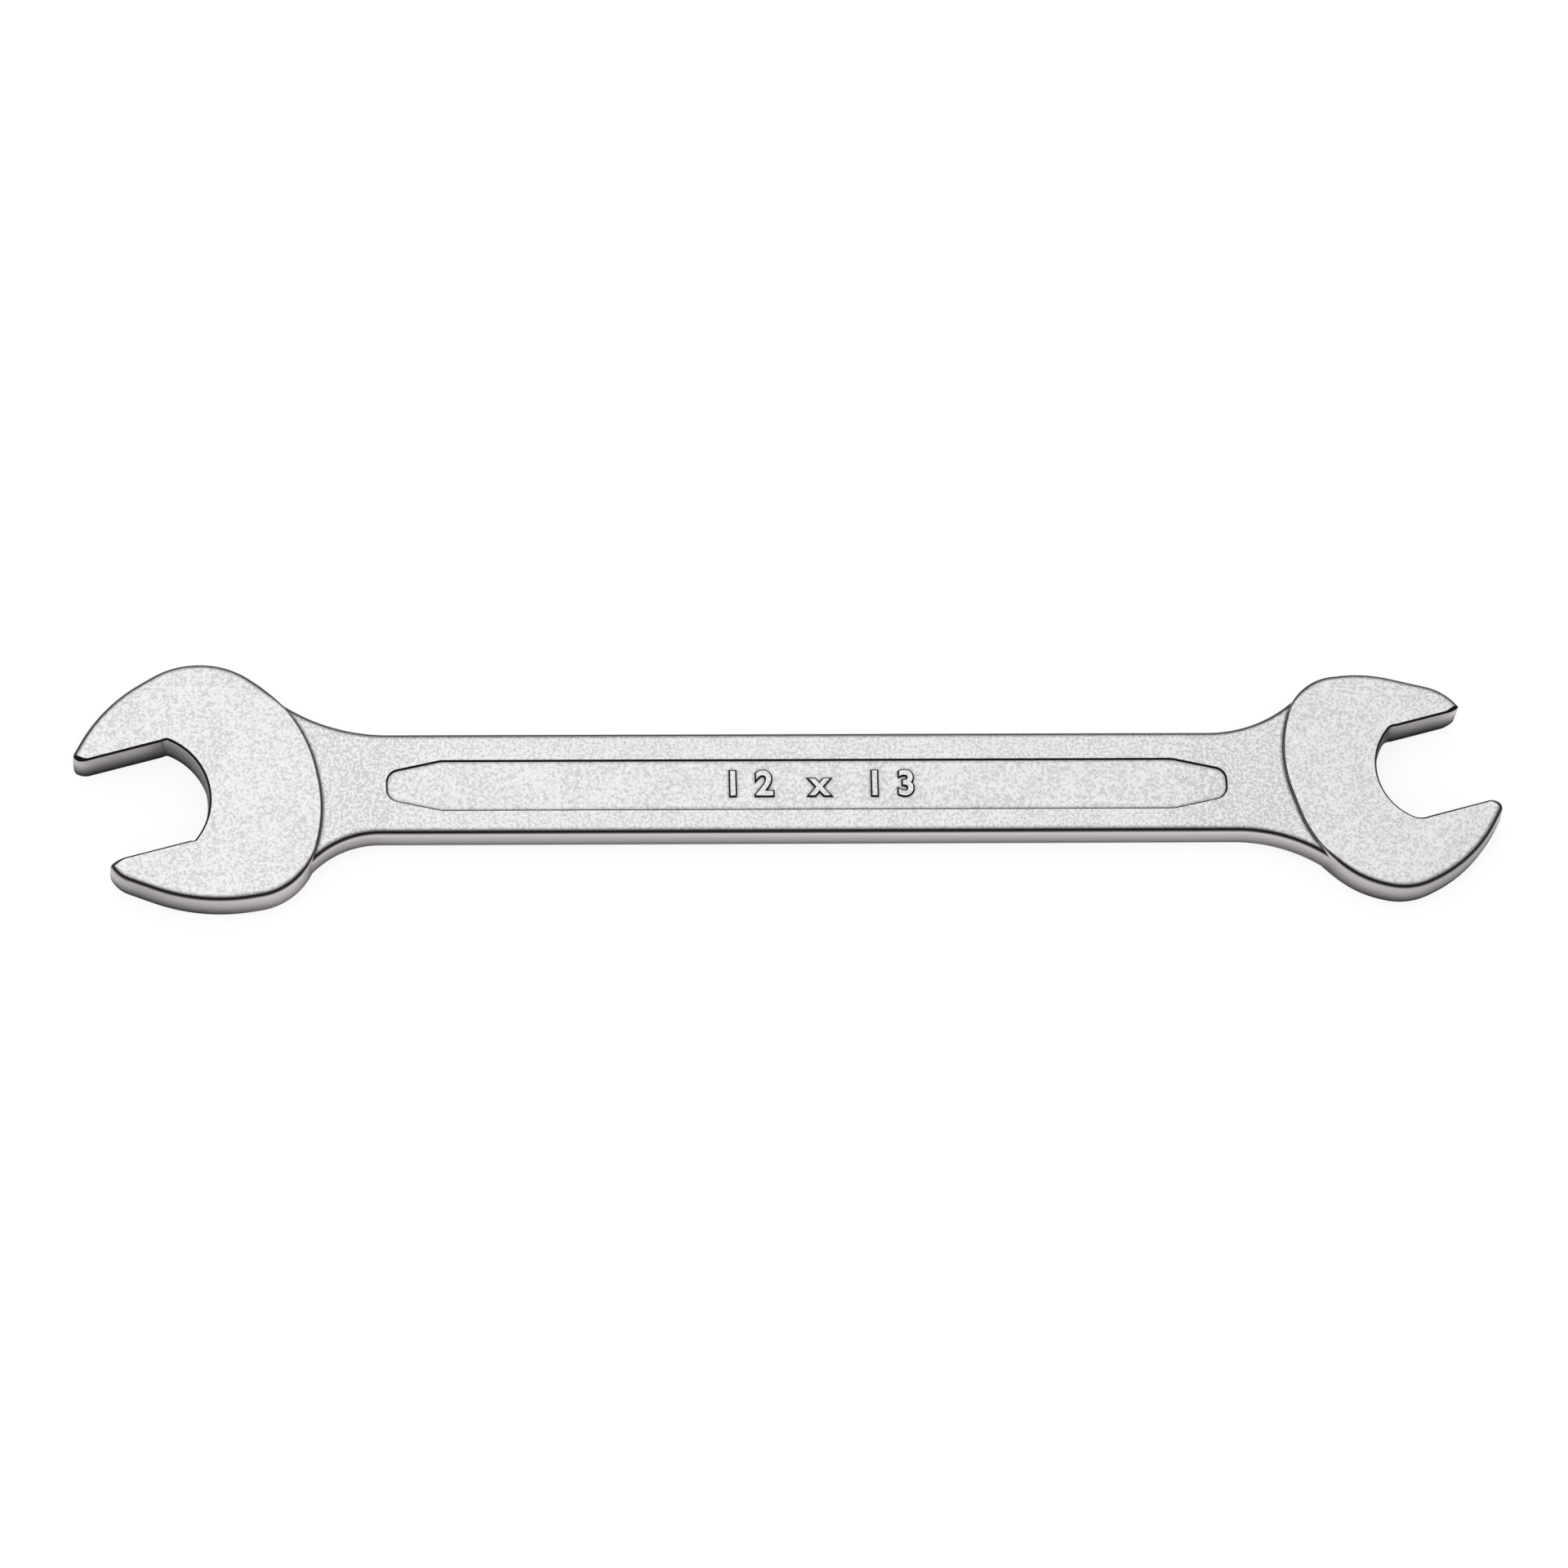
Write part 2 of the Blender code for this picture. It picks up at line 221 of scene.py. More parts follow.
def neckFlare(head, side):
    # a fillet between the shank's straight edge and the head, found by halving
    radius = head["neckRadius"][sideNames[side]]
    outline = headOutline(head)
    centre = Vector((0, side * (tool["shankWidth"] / 2 + radius)))
    near, far = 0, head["width"] + radius
    for halving in range(tool["neckHalvings"]):
        centre.x = -(near + far) / 2
        touching = nearestPoint(centre, outline)
        if (touching - centre).length < radius - tool["neckBite"]:
            near = -centre.x
        else:
            far = -centre.x
    toHead = touching - centre
    turn = math.atan2(toHead.x, -side * toHead.y)
    return arcPoints(centre, radius, -side * math.pi / 2, side * turn)


def jawAxes():
    angle = math.radians(tool["jawAngle"])
    along = Vector((math.cos(angle), math.sin(angle)))
    return along, Vector((-along.y, along.x))


def jawSide(head, side):
    # one side of the mouth, from the throat out past the jaw's tip: each point with its share
    # of the draft and the size of its broken edge
    name = sideNames[side]
    radius, corner = head["throatRadius"], head["throatCorner"][name]
    half = head["jawOpening"] / 2
    along, across = jawAxes()
    face = half + side * head["mouthOffset"]
    reach = max(p.dot(along) for p in headOutline(head) if side * p.dot(across) > face)
    throatCentre = radius - head["throatBehindCentre"]
    gap = math.sqrt((radius - corner) ** 2 - (half - corner) ** 2)
    meeting = math.atan2(half - corner, gap)
    throat = arcPoints(Vector((throatCentre, 0)), radius, math.pi, -meeting)
    filletCentre = Vector((throatCentre - gap, half - corner))
    fillet = arcPoints(filletCentre, corner, math.pi - meeting, meeting - math.pi / 2)
    tipRadius, tipTurn = head["tipRadius"][name], math.radians(head["tipTurn"][name])
    tipCentre = Vector((reach - head["tipLength"][name], half + tipRadius))
    tip = arcPoints(tipCentre, tipRadius, -math.pi / 2, tipTurn)
    noseRadius, noseTurn = head["noseRadius"][name], math.radians(head["noseTurn"][name])
    noseCentre = tip[-1] + (tipCentre - tip[-1]) * noseRadius / tipRadius
    nose = arcPoints(noseCentre, noseRadius, tipTurn - math.pi / 2, noseTurn)
    heading = tipTurn + noseTurn
    outside = nose[-1] + half * Vector((math.cos(heading), math.sin(heading)))
    beyond = Vector((outside.x + head["width"], outside.y))

    fine, worn = tool["jawEdgeBreak"], tool["noseEdgeBreak"]
    found = [(point, 1, fine) for point in throat[1:-1]]
    found += [(point, 1 - step / len(fillet), fine) for step, point in enumerate(fillet)]
    wear = (worn - fine) / (len(tip) - 1)
    found += [(point, 0, fine + wear * step) for step, point in enumerate(tip)]
    found += [(point, 0, worn) for point in nose[1:] + [outside, beyond]]
    return [(Vector((point.x, side * point.y)), share, edge) for point, share, edge in found]


def mouthSides(head):
    loop = [(Vector((-head["throatBehindCentre"], 0)), 1, tool["jawEdgeBreak"])]
    loop += jawSide(head, -1) + jawSide(head, 1)[::-1]
    along, across = jawAxes()
    offset = head["mouthOffset"]
    return [(along * p.x + across * (p.y + offset), share, edge) for p, share, edge in loop]


def mouthOutline(head):
    return [point for point, share, edge in mouthSides(head)]


def inPlace(points, place):
    return [(place @ point.to_3d()).to_2d() for point in points]


def headPlace(head, end):
    outline, mouth = headOutline(head), mouthOutline(head)
    left = [point.x for point in outline if not isInside(point, mouth)]
    reach = max(left + [point.x for point in mouth if isInside(point, outline)])
    turn = Matrix.Rotation(0 if end > 0 else math.pi, 4, "Z")
    return Matrix.Translation((end * (tool["overallLength"] / 2 - reach), 0, 0)) @ turn


def planPlaces():
    places = headPlace(largeHead, -1), headPlace(smallHead, 1)
    across = []
    for head, place in zip((largeHead, smallHead), places):
        across += [point.y for point in inPlace(headOutline(head), place)]
    middle = Vector((0, -(max(across) + min(across)) / 2, tool["headThickness"] / 2))
    shift = Matrix.Translation(middle)
    return [shift @ place for place in places], shift


def shankOutline(largePlace, smallPlace):
    small = inPlace(neckFlare(smallHead, 1), smallPlace)
    smallLow = inPlace(neckFlare(smallHead, -1), smallPlace)
    large = inPlace(neckFlare(largeHead, 1), largePlace)
    largeLow = inPlace(neckFlare(largeHead, -1), largePlace)
    smallCentre = smallPlace.translation.to_2d()
    largeCentre = largePlace.translation.to_2d()
    return large[::-1] + smallLow + [smallCentre] + small[::-1] + largeLow + [largeCentre]


def spreadOut(outline):
    # drops points that lie on top of the one before
    kept = []
    for point in outline:
        if not kept or (point - kept[-1]).length > tool["leastDistance"]:
            kept.append(point)
    return kept


def waysIn(outline):
    ways = []
    for before, here, after in zip(outline[-1:] + outline[:-1], outline, outline[1:] + outline[:1]):
        coming, going = (here - before).normalized(), (after - here).normalized()
        middle = (coming + going).normalized()
        ways.append(Vector((-middle.y, middle.x)) / middle.dot(going))
    return ways


def forgingTree():
    # a forged blank, whose walls follow an outline. The modifier's own mesh is the outline, a
    # closed loop of edges, with the way in and the edge radius stored at each point
    tree = bpy.data.node_groups.new("forgedBlank", "GeometryNodeTree")
    for name, kind in (("Outline", "NodeSocketGeometry"), ("Thickness", "NodeSocketFloat"),
                       ("Draft Angle", "NodeSocketFloat"), ("Edge Segments", "NodeSocketInt"),
                       ("Finish", "NodeSocketMaterial")):
        tree.interface.new_socket(name, in_out="INPUT", socket_type=kind)
    tree.interface.new_socket("Blank", in_out="OUTPUT", socket_type="NodeSocketGeometry")
    maker = TreeMaker(tree)
    given = tree.nodes.new("NodeGroupInput")
    outline, thickness, draft, segments, finish = [Wire(maker, s) for s in given.outputs[:5]]

    def attribute(name, kind):
        inputs = {"Name": name}
        return maker.add("GeometryNodeInputNamedAttribute", {"data_type": kind}, inputs)

    def sampled(value, kind, column):
        inputs = {"Geometry": outline, "Value": value, "Index": column}
        return maker.add("GeometryNodeSampleIndex", {"data_type": kind}, inputs)

    def moved(start, way, distance, height):
        inputs = {0: way, "Scale": distance}
        inset = maker.add("ShaderNodeVectorMath", {"operation": "SCALE"}, inputs)
        flat = maker.add("ShaderNodeVectorMath", {"operation": "ADD"}, [start, inset])
        lift = maker.add("ShaderNodeCombineXYZ", inputs={"Z": height})
        return maker.add("ShaderNodeVectorMath", {"operation": "ADD"}, [flat, lift])

    def edgeCentre(radius):
        height = thickness * 0.5 - radius
        return height, height * draft.math("TANGENT") + radius / draft.math("COSINE")

    position = maker.add("GeometryNodeInputPosition")
    way, radius = attribute("wayIn", "FLOAT_VECTOR"), attribute("edgeRadius", "FLOAT")
    count = maker.add("GeometryNodeAttributeDomainSize", inputs={"Geometry": outline})
    rows = segments * 2 + 3
    walls = maker.add("GeometryNodeMeshGrid", inputs={"Vertices X": count + 1, "Vertices Y": rows})
    index = maker.add("GeometryNodeInputIndex")
    column = (index / rows).math("FLOOR") % count
    level = index % rows - (segments + 1)
    up, away = level.math("SIGN"), level.math("ABSOLUTE")
    rise = (away - 1).math("MAXIMUM", 0) / segments
    angle = draft + rise * (math.pi / 2 - draft)
    here = sampled(radius, "FLOAT", column)
    centreHeight, centreInset = edgeCentre(here)
    height = up * (centreHeight + here * angle.math("SINE"))
    inset = away.math("MINIMUM", 1) * (centreInset - here * angle.math("COSINE"))
    start, wayHere = sampled(position, "FLOAT_VECTOR", column), sampled(way, "FLOAT_VECTOR", column)
    place = moved(start, wayHere, inset, height)
    walls = maker.add("GeometryNodeSetPosition", inputs={"Geometry": walls, "Position": place})

    rim = moved(position, way, edgeCentre(radius)[1], 0.0)
    rim = maker.add("GeometryNodeSetPosition", inputs={"Geometry": outline, "Position": rim})
    face = maker.add("GeometryNodeMeshToCurve", inputs={"Mesh": rim})
    face = maker.add("GeometryNodeFillCurve", {"mode": "NGONS"}, {"Curve": face})
    faces = []
    for side in (1, -1):
        lift = maker.add("ShaderNodeCombineXYZ", inputs={"Z": thickness * (side / 2)})
        moving = {"Geometry": face, "Translation": lift}
        faces.append(maker.add("GeometryNodeTransform", inputs=moving))
    faces[1] = maker.add("GeometryNodeFlipFaces", inputs={"Mesh": faces[1]})
    joined = maker.add("GeometryNodeJoinGeometry")
    for part in (faces[1], faces[0], walls):
        tree.links.new(part.socket, joined.socket.node.inputs[0])
    inputs = {"Geometry": joined, "Distance": tool["leastDistance"]}
    closed = maker.add("GeometryNodeMergeByDistance", inputs=inputs)
    real = maker.add("GeometryNodeRealizeInstances", inputs={"Geometry": closed})
    painted = maker.add("GeometryNodeSetMaterial", inputs={"Geometry": real, "Material": finish})
    result = tree.nodes.new("NodeGroupOutput")
    tree.links.new(painted.socket, result.inputs[0])
    return tree


def setInput(modifier, name, value):
    for item in modifier.node_group.interface.items_tree:
        if item.item_type == "SOCKET" and item.in_out == "INPUT" and item.name == name:
            modifier[item.identifier] = value


def addAttribute(mesh, name, kind, domain, values):
    # filled before the next one is added, which would move it in memory
    attribute = mesh.attributes.new(name, kind, domain)
    field = "vector" if kind == "FLOAT_VECTOR" else "value"
    for item, value in zip(attribute.data, values):
        setattr(item, field, value)


def linkNew(name, mesh, place=None):
    obj = bpy.data.objects.new(name, mesh)
    bpy.context.scene.collection.objects.link(obj)
    if place is not None:
        obj.matrix_world = place
    return obj


def plainMesh(obj, name):
    bpy.context.view_layer.update()
    graph = bpy.context.evaluated_depsgraph_get()
    mesh = bpy.data.meshes.new_from_object(obj.evaluated_get(graph), depsgraph=graph)
    mesh.name = name
    mesh.transform(obj.matrix_world)
    return mesh


def forgedBlank(name, outline, edgeRadii, thickness, place, tree, finish):
    mesh = bpy.data.meshes.new(name)
    count = len(outline)
    edges = [(index, (index + 1) % count) for index in range(count)]
    mesh.from_pydata([point.to_3d() for point in outline], edges, [])
    addAttribute(mesh, "wayIn", "FLOAT_VECTOR", "POINT", [way.to_3d() for way in waysIn(outline)])
    addAttribute(mesh, "edgeRadius", "FLOAT", "POINT", edgeRadii)
    blank = linkNew(name, mesh, place)
    modifier = blank.modifiers.new("forge", "NODES")
    modifier.node_group = tree
    setInput(modifier, "Thickness", thickness)
    setInput(modifier, "Draft Angle", math.radians(tool["draftAngle"]))
    setInput(modifier, "Edge Segments", tool["edgeSegments"])
    setInput(modifier, "Finish", finish)
    mesh = plainMesh(blank, name)
    bpy.data.objects.remove(blank)
    return linkNew(name, mesh)


def headEdgeRadii(outline, shank):
    # crisp where the head steps down to the neck, round elsewhere, and eased between the two
    crisp, full = tool["heelEdgeRadius"], tool["forgedEdgeRadius"]
    radii = [crisp if isInside(point, shank) else full for point in outline]
    eased = []
    for here in outline:
        near = [r for point, r in zip(outline, radii) if (point - here).length < tool["edgeBlend"]]
        eased.append(sum(near) / len(near))
    return eased


def liftedSolid(name, outline, levels, place):
    # closed walls through levels, which give each point of the outline a height and an inset
    bm = bmesh.new()
    ways = waysIn(outline)
    rings = []
    for level in levels:
        ring = []
        for point, way, (height, inset) in zip(outline, ways, level):
            spot = point + way * inset
            ring.append(bm.verts.new((spot.x, spot.y, height)))
        rings.append(ring)
    for low, high in zip(rings, rings[1:]):
        for index in range(len(outline)):
            after = (index + 1) % len(outline)
            bm.faces.new([low[index], low[after], high[after], high[index]])
    bm.faces.new(rings[0][::-1])
    bm.faces.new(rings[-1])
    bmesh.ops.recalc_face_normals(bm, faces=bm.faces)
    mesh = bpy.data.meshes.new(name)
    bm.to_mesh(mesh)
    bm.free()
    mesh.transform(place)
    return linkNew(name, mesh)


panel = {
    "width": 0.0065,
    "offset": -0.0003,
    "depth": 0.00025,
    "wallSlope": 50,
    "marginLargeEnd": 0.0074,
    "marginSmallEnd": 0.0067,
    "taperLength": 0.0066,
    "noseWidth": 0.0036,
    "cornerRadius": 0.0030,
    "noseRadius": 0.0017,
}


def panelCutter(name, length, place):
    halfLength, halfWidth, halfNose = length / 2, panel["width"] / 2, panel["noseWidth"] / 2
    shoulder = halfLength - panel["taperLength"]
    quarter = [(halfLength, halfNose, panel["noseRadius"]),
               (shoulder, halfWidth, panel["cornerRadius"])]
    half = quarter + [(-x, y, radius) for x, y, radius in quarter[::-1]]
    outline = roundedOutline(half + [(-x, -y, radius) for x, y, radius in half])
    slope = math.tan(math.radians(panel["wallSlope"]))
    heights = (-panel["depth"], tool["cutOverrun"])
    levels = [[(height, -height / slope)] * len(outline) for height in heights]
    faceHeight = Matrix.Translation((0, 0, tool["shankThickness"] / 2))
    return liftedSolid(name, outline, levels, place @ faceHeight)


def mouthCutter(name, head, place):
    # straight at the jaws, drafted at the throat, and wider at both faces to break the edges
    half, past = tool["headThickness"] / 2, tool["cutOverrun"]
    lean = math.tan(math.radians(tool["draftAngle"]))
    sides = mouthSides(head)
    rim = [(half + past, -(half - edge) * lean * share - edge - past) for _, share, edge in sides]
    side = [(half - edge, -(half - edge) * lean * share) for _, share, edge in sides]
    under = [[(-height, inset) for height, inset in level] for level in (rim, side)]
    middle = [(0, 0)] * len(sides)
    return liftedSolid(name, mouthOutline(head), [*under, middle, side, rim], place)


def combine(body, other, operation):
    modifier = body.modifiers.new(other.name, "BOOLEAN")
    modifier.operation = operation
    modifier.object = other
    modifier.solver = "EXACT"


def buildWrench(finish):
    (largePlace, smallPlace), middle = planPlaces()
    toMiddle = middle.inverted()
    shank = spreadOut(shankOutline(toMiddle @ largePlace, toMiddle @ smallPlace))
    tree = forgingTree()
    radii = [tool["forgedEdgeRadius"]] * len(shank)
    body = forgedBlank("shankBlank", shank, radii, tool["shankThickness"], middle, tree, finish)
    helpers, heels = [], []
    for name, head, place in (("large", largeHead, largePlace), ("small", smallHead, smallPlace)):
        outline = spreadOut(headOutline(head))
        radii = headEdgeRadii(outline, inPlace(shank, place.inverted() @ middle))
        thickness = tool["headThickness"]
        blank = forgedBlank(name + "Blank", outline, radii, thickness, place, tree, finish)
        mouth = mouthCutter(name + "Mouth", head, place)
        combine(body, blank, "UNION")
        combine(body, mouth, "DIFFERENCE")
        helpers += [blank, mouth]
        heels.append((place @ Vector((min(point.x for point in outline), 0, 0))).x)
    start, end = heels[0] + panel["marginLargeEnd"], heels[1] - panel["marginSmallEnd"]
    centre = middle @ Matrix.Translation(((start + end) / 2, panel["offset"], 0))
    for name, turn in (("upperPanel", 0), ("lowerPanel", math.pi)):
        place = centre @ Matrix.Rotation(turn, 4, "X")
        cutter = panelCutter(name, end - start, place)
        combine(body, cutter, "DIFFERENCE")
        helpers.append(cutter)
    mesh = plainMesh(body, "forged_wrench")
    for helper in [body, *helpers]:
        bpy.data.objects.remove(helper)
    return mesh, centre


def fitToBox(mesh, low, high):
    # takes up the few hundredths that finer arcs add, so that the two models share one box
    spots = [vertex.co for vertex in mesh.vertices]
    for axis in range(3):
        least = min(spot[axis] for spot in spots)
        most = max(spot[axis] for spot in spots)
        scale = (high[axis] - low[axis]) / (most - least)
        for spot in spots:
            spot[axis] = low[axis] + (spot[axis] - least) * scale


def tidyMesh(mesh, finish):
    bm = bmesh.new()
    bm.from_mesh(mesh)
    bmesh.ops.remove_doubles(bm, verts=bm.verts, dist=tool["weldDistance"])
    bmesh.ops.dissolve_degenerate(bm, edges=bm.edges, dist=tool["leastDistance"])
    loose = [vertex for vertex in bm.verts if not vertex.link_faces]
    bmesh.ops.delete(bm, geom=loose, context="VERTS")
    bm.to_mesh(mesh)
    bm.free()
    mesh.materials.clear()
    mesh.materials.append(finish)
    mesh.shade_smooth()
    mesh.set_sharp_from_angle(angle=math.radians(tool["sharpAngle"]))


chrome = {
    "light": (1.0, 0.975, 0.985, 1),
    "dark": (0.70, 0.675, 0.685, 1),
    "brightShare": 0.64,
    "shankWallShade": (0.67, 0.62, 0.62, 1),
    "jawWallShade": (0.44, 0.41, 0.41, 1),
    "jawWallStart": 0.058,
    "jawWallEnd": 0.078,
    "lowWallStart": 0.054,
    "lowWallEnd": 0.070,
    "lowWallFrom": 0.0040,
    "lowWallTo": 0.0009,
    "lowWallShadowing": 0.9,
    "paintedShade": (0.020, 0.018, 0.019, 1),
    "edgeTilt": 47,
    "edgeSpread": 21,
    "edgeStrength": 1.25,
    "edgeCutoff": 0.05,
    "wallTilt": 52,
    "fullWallTilt": 67,
    "creaseSize": 0.0005,
    "creaseDarkening": 3.0,
    "heelFade": 0.0001,
    "roughness": 0.30,
    "grainRoughness": 0.12,
    "wallPolish": 0.12,
    "edgePolish": 0.06,
    "grainSize": 0.00034,
    "grainContrast": 5.0,
    "neckGrainContrast": 2.0,
    "neckStart": 0.044,
    "neckEnd": 0.050,
    "neckDarkening": 0.18,
    "blotchSize": 0.004,
    "blotchContrast": 0.6,
    "streakLength": 0.004,
    "streakWidth": 0.00014,
    "streakContrast": 1.3,
    "streakStart": 0.0085,
    "streakEnd": 0.0105,
    "grainRelief": 0.000012,
    "grainBump": 0.6,
}


def markSurfaces(mesh):
    # a value at each face corner, so that it ends sharply where a flat face begins
    edges, walls = [0] * len(mesh.loops), [0] * len(mesh.loops)
    firstTilt, fullTilt = chrome["wallTilt"], chrome["fullWallTilt"]
    for polygon in mesh.polygons:
        tilt = math.degrees(math.acos(min(1, abs(polygon.normal.z))))
        # painted reflection: faces that lean like a rounded edge get a dark line, standing in for
        # the dark surroundings that such edges reflect; the same value also polishes them
        edge = math.exp(-((tilt - chrome["edgeTilt"]) / chrome["edgeSpread"]) ** 2)
        edge = chrome["edgeStrength"] * edge - chrome["edgeCutoff"]
        # painted shade: how much a face is a wall, which later darkens it and makes it smoother
        wall = (tilt - firstTilt) / (fullTilt - firstTilt)
        for corner in polygon.loop_indices:
            edges[corner] = min(1, max(0, edge))
            walls[corner] = min(1, max(0, wall))
    addAttribute(mesh, "edgeShadeAndPolish", "FLOAT", "CORNER", edges)
    addAttribute(mesh, "wallShadeAndPolish", "FLOAT", "CORNER", walls)


def satinChrome():
    material = bpy.data.materials.new("satin_chrome")
    material.use_nodes = True
    maker = TreeMaker(material.node_tree)
    shader = material.node_tree.nodes["Principled BSDF"]
    place = maker.add("ShaderNodeTexCoord", output="Object")

    def noise(size, detail, roughness, spot=place):
        # as far below zero as above it
        inputs = {"Vector": spot, "Scale": 1 / size, "Detail": detail, "Roughness": roughness}
        return maker.add("ShaderNodeTexNoise", inputs=inputs) - 0.5

    def tone(name):
        return maker.add("ShaderNodeAttribute", {"attribute_name": name}, output="Fac")

    edge, wall = tone("edgeShadeAndPolish"), tone("wallShadeAndPolish")
    grain = noise(chrome["grainSize"], detail=2.0, roughness=0.6)
    blotch = noise(chrome["blotchSize"], detail=1.0, roughness=0.5)
    spread = (1, chrome["streakWidth"] / chrome["streakLength"], 1)
    longways = maker.add("ShaderNodeVectorMath", {"operation": "DIVIDE"}, [place, spread])
    streak = noise(chrome["streakLength"], detail=2.0, roughness=0.6, spot=longways)
    parts = maker.add("ShaderNodeSeparateXYZ", inputs=[place]).socket.node.outputs
    along, across, height = [Wire(maker, part) for part in parts]
    along, across = along.math("ABSOLUTE"), across.math("ABSOLUTE")
    outer = across.risen(chrome["streakStart"], chrome["streakEnd"])
    nearTips = along.risen(chrome["jawWallStart"], chrome["jawWallEnd"])
    atHeads = along.risen(chrome["lowWallStart"], chrome["lowWallEnd"])
    low = height.risen(chrome["lowWallFrom"], chrome["lowWallTo"]) * atHeads
    fromMiddle = (height - tool["headThickness"] / 2).math("ABSOLUTE")
    shankFace = tool["shankThickness"] / 2
    belowHeads = fromMiddle.risen(shankFace + chrome["heelFade"], shankFace)
    # the necks are grainier and a little darker
    necks = along.risen(chrome["neckStart"], chrome["neckEnd"]) * belowHeads
    contrast = chrome["grainContrast"] + necks * chrome["neckGrainContrast"]
    share = chrome["brightShare"] + grain * contrast + blotch * chrome["blotchContrast"]
    share = share + streak * chrome["streakContrast"] * outer - necks * chrome["neckDarkening"]
    colour = maker.mixColour(share.clamp(), chrome["dark"], chrome["light"])
    # painted shade: walls take a darker colour, darker still towards the jaw tips, standing in for
    # the dimmer floor they reflect
    wallShadeColour = maker.mixColour(nearTips, chrome["shankWallShade"], chrome["jawWallShade"])
    colour = maker.mixColour(wall, colour, wallShadeColour)
    # painted shade: creases are darkened by how hemmed in they are, at the necks and in the panels,
    # but not where a head lies on the floor
    inputs = {"Distance": chrome["creaseSize"]}
    openness = maker.add("ShaderNodeAmbientOcclusion", {"samples": 8}, inputs, "AO")
    creaseShade = ((1 - openness) * chrome["creaseDarkening"]).clamp() * belowHeads
    # painted shadow: the low walls of the heads grow dark and matt towards the floor, standing in
    # for the shaded floor they reflect there
    lowWallShadow = low * wall * chrome["lowWallShadowing"]
    # painted shade: edge lines, creases and low head walls all mix towards one dark colour
    colour = maker.mixColour((edge + creaseShade + lowWallShadow).clamp(), colour, chrome["paintedShade"])
    material.node_tree.links.new(colour.socket, shader.inputs["Base Color"])
    metallic = 1 - lowWallShadow
    material.node_tree.links.new(metallic.socket, shader.inputs["Metallic"])
    shader.inputs["Specular IOR Level"].default_value = 0
    rough = chrome["roughness"] + grain * chrome["grainRoughness"]
    rough = rough - wall * chrome["wallPolish"] - edge * chrome["edgePolish"]
    material.node_tree.links.new(rough.socket, shader.inputs["Roughness"])
    inputs = {"Strength": chrome["grainBump"], "Distance": chrome["grainRelief"], "Height": grain}
    bump = maker.add("ShaderNodeBump", inputs=inputs)
    material.node_tree.links.new(bump.socket, shader.inputs["Normal"])
    return material


def weightNormals(mesh):
    # flat faces stay flat beside their round edges
    unweighted = linkNew(mesh.name, mesh)
    modifier = unweighted.modifiers.new("flatFaces", "WEIGHTED_NORMAL")
    modifier.keep_sharp = True
    weighted = plainMesh(unweighted, mesh.name)
    bpy.data.objects.remove(unweighted)
    return weighted


finish = satinChrome()
wrenchMesh, panelCentre = buildWrench(finish)
tidyMesh(wrenchMesh, finish)
fitToBox(wrenchMesh, *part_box("forged_wrench_body"))
markSurfaces(wrenchMesh)
wrenchMesh = weightNormals(wrenchMesh)
wrench = linkNew("forged_wrench", wrenchMesh)
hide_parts("forged_wrench_body")
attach(wrench, "root")
print("wrench forged,", len(wrenchMesh.polygons), "faces")


# the size is raised on both panels
sizeMark = {
    "text": "12 x 13",
    "capHeight": 0.0030,
    "capShare": 0.69,
    "shift": 0.0014,
    "spacing": 1.75,
    "boldness": 0.00017,
    "relief": 0.00025,
    "chamfer": 0.00018,
    "sink": 0.00003,
}


def raisedNumbers(name, face):
    curve = bpy.data.curves.new(name, "FONT")
    curve.body = sizeMark["text"]
    curve.size = sizeMark["capHeight"] / sizeMark["capShare"]
    curve.align_x = "CENTER"
    curve.align_y = "CENTER"
    curve.space_character = sizeMark["spacing"]
    curve.offset = sizeMark["boldness"] - sizeMark["chamfer"] / 2
    curve.extrude = sizeMark["relief"] - sizeMark["chamfer"]
    curve.bevel_depth = sizeMark["chamfer"]
    curve.bevel_resolution = 0
    curve.resolution_u = 6
    writing = linkNew(name + "Text", curve)
    mesh = plainMesh(writing, name)
    bpy.data.objects.remove(writing)
    floor = tool["shankThickness"] / 2 - panel["depth"]
    turn = Matrix.Rotation(0 if face > 0 else math.pi, 4, "X")
    place = Matrix.Translation((sizeMark["shift"], 0, floor - sizeMark["sink"]))
    mesh.transform(panelCentre @ turn @ place)
    mesh.materials.clear()
    mesh.materials.append(finish)
    markSurfaces(mesh)
    return linkNew(name, mesh)


for name, face in (("size_numbers_upper", 1), ("size_numbers_lower", -1)):
    numbers = raisedNumbers(name, face)
    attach(numbers, "root")
print("size numbers raised")


studio = {
    "floorSize": 6.0,
    "floorAlbedo": 0.22,
    "floorGlow": 0.84,
    "contactSize": 0.0045,
    "contactFrom": 0.50,
    "contactGain": 2.3,
    "skyStrength": 0.80,
    "tentRadius": 1.8,
    "tentHem": 0.01,
    "tentLeaning": (-14, 16),
    "tentFullAngle": 13,
    "tentDimAngle": 62,
    "tentDimmest": 0.45,
    "lampPower": 2.0,
    "lampSize": 0.9,
    "lampPlace": (-0.35, -0.15, 1.25),
}


def seenDirectly(maker):
    # 1 for rays that should meet the white background: camera, glossy and transmission rays
    path = maker.add("ShaderNodeLightPath")
    outputs = path.socket.node.outputs
    kinds = [Wire(maker, outputs[name]) for name in
             ("Is Camera Ray", "Is Glossy Ray", "Is Transmission Ray")]
    return kinds[0].math("MAXIMUM", kinds[1]).math("MAXIMUM", kinds[2])


